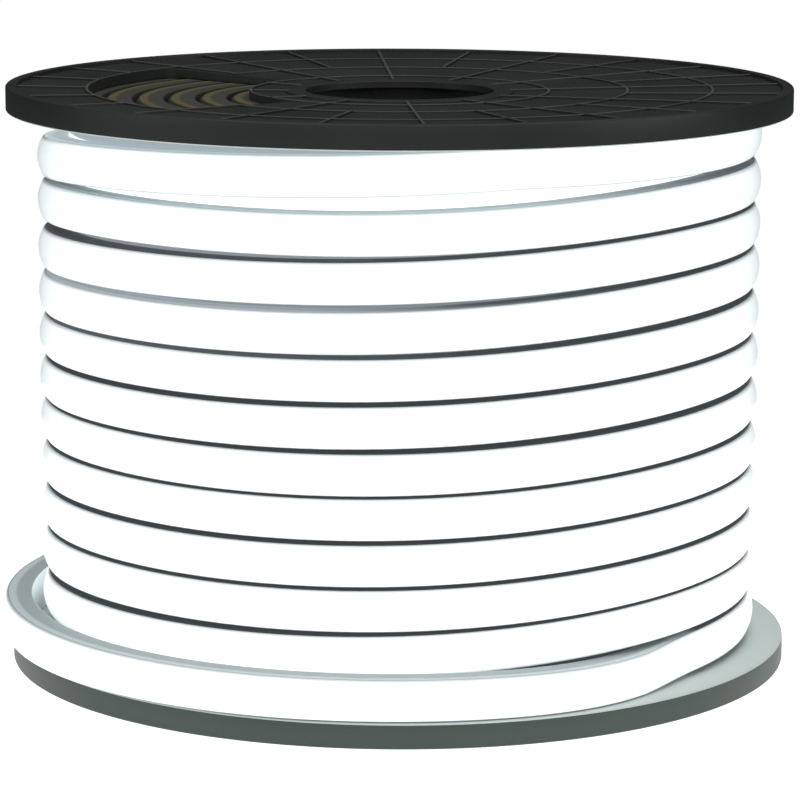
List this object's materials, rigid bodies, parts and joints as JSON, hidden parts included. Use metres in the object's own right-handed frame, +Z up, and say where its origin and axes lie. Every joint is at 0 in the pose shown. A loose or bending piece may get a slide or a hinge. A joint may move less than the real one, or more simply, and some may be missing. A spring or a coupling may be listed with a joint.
{
  "type": "silicone led strip",
  "caption": "Domed silicone light strip wound on a black moulded reel that stands on its end, with a loose last turn on the lower flange.",
  "frame": {"origin": "on the reel's axis, at the floor that the lower flange stands on", "axes": "+Z up along the reel's axis; -Y is the side that the picture shows; the loose last turn stands out furthest at -X"},
  "size_m": [0.3046, 0.3011, 0.2215],
  "materials": {
    "black_moulded_plastic": "moulded black plastic with a soft sheen",
    "milky_silicone": "smooth milky silicone, its domed face lit white"
  },
  "bodies": {
    "root": {"upper_flange": "black_moulded_plastic", "lower_flange": "black_moulded_plastic", "core_tube": "black_moulded_plastic", "light_strip": "milky_silicone"}
  },
  "joints": []
}
